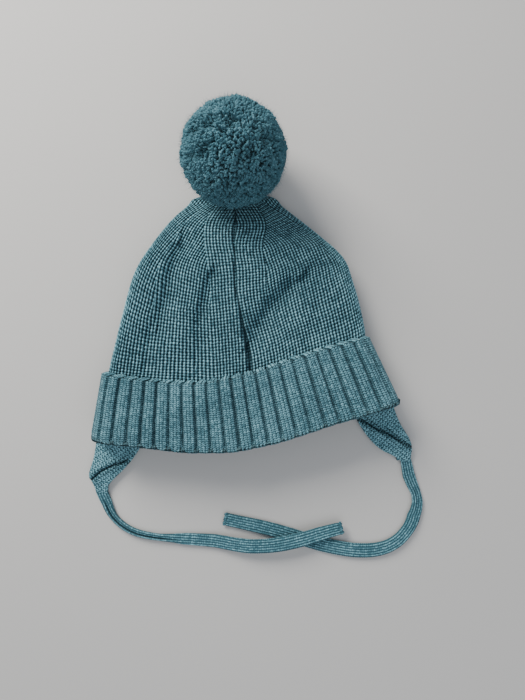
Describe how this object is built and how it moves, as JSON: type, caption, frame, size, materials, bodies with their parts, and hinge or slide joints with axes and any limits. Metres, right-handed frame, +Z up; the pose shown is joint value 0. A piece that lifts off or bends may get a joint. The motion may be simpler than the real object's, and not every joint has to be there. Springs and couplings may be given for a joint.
{
  "type": "pom pom beanie",
  "caption": "Flat-lying knitted baby beanie: tapering crown, turned-up rib cuff, folded ear flaps with flat knitted ties, round yarn pom pom",
  "frame": {"origin": "middle of the underside of the hat as it lies on a table, measured without the free ties", "axes": "+Z up from the table, +Y from the mouth of the hat to the pom pom, +X to the right"},
  "size_m": [0.1929, 0.2523, 0.0572],
  "materials": {
    "crown_rib": "fine half-cardigan wool rib, melange blue-green",
    "cuff_rib": "wide flat wool rib, melange blue-green",
    "flap_knit": "garter-like wool knit",
    "tie_knit": "narrow flat wool knit",
    "pom_tufts": "cut wool yarn, soft and fuzzy",
    "yarn": "plied wool yarn",
    "label_satin": "blank woven satin tape"
  },
  "bodies": {
    "hat": {"crown": "crown_rib", "crown_back_seam": "crown_rib", "crown_gather_yarn": "yarn", "cuff": "cuff_rib", "cuff_tacks": "yarn", "earflap_root_left": "flap_knit", "earflap_root_right": "flap_knit", "earflap_stitches_left": "yarn", "earflap_stitches_right": "yarn", "tie_left": "tie_knit", "tie_right": "tie_knit", "tie_end_left": "tie_knit", "tie_end_right": "tie_knit", "care_label": "label_satin", "label_stitches": "yarn"},
    "flap_left": {"earflap_left": "flap_knit", "tie_tack_left": "yarn"},
    "flap_right": {"earflap_right": "flap_knit", "tie_tack_right": "yarn"},
    "pom_yarn": {"pom_shank": "yarn", "pom_knot": "yarn"},
    "pom": {"pom_pom": "pom_tufts", "pom_core_tie": "yarn"}
  },
  "joints": [
    {"name": "flap_left_fold", "type": "hinge", "parent": "hat", "child": "flap_left", "pos_m": [-0.07568, -0.07825, 0.0046], "axis": [-0.9941, 0.1087, 0], "range_deg": [0, 85], "deforming": ["tie_left", "tie_end_left"]},
    {"name": "flap_right_fold", "type": "hinge", "parent": "hat", "child": "flap_right", "pos_m": [0.07261, -0.06061, 0.0046], "axis": [-0.9559, -0.2938, 0], "range_deg": [0, 85], "deforming": ["tie_right", "tie_end_right"]},
    {"name": "pom_sway", "type": "hinge", "parent": "hat", "child": "pom_yarn", "pos_m": [-0.0078, 0.0584, 0.0036], "axis": [0, 0, 1], "range_deg": [-15, 15]},
    {"name": "pom_nod", "type": "hinge", "parent": "pom_yarn", "child": "pom", "pos_m": [-0.0078, 0.0584, 0.0036], "axis": [1, 0, 0], "range_deg": [-15, 15]}
  ]
}
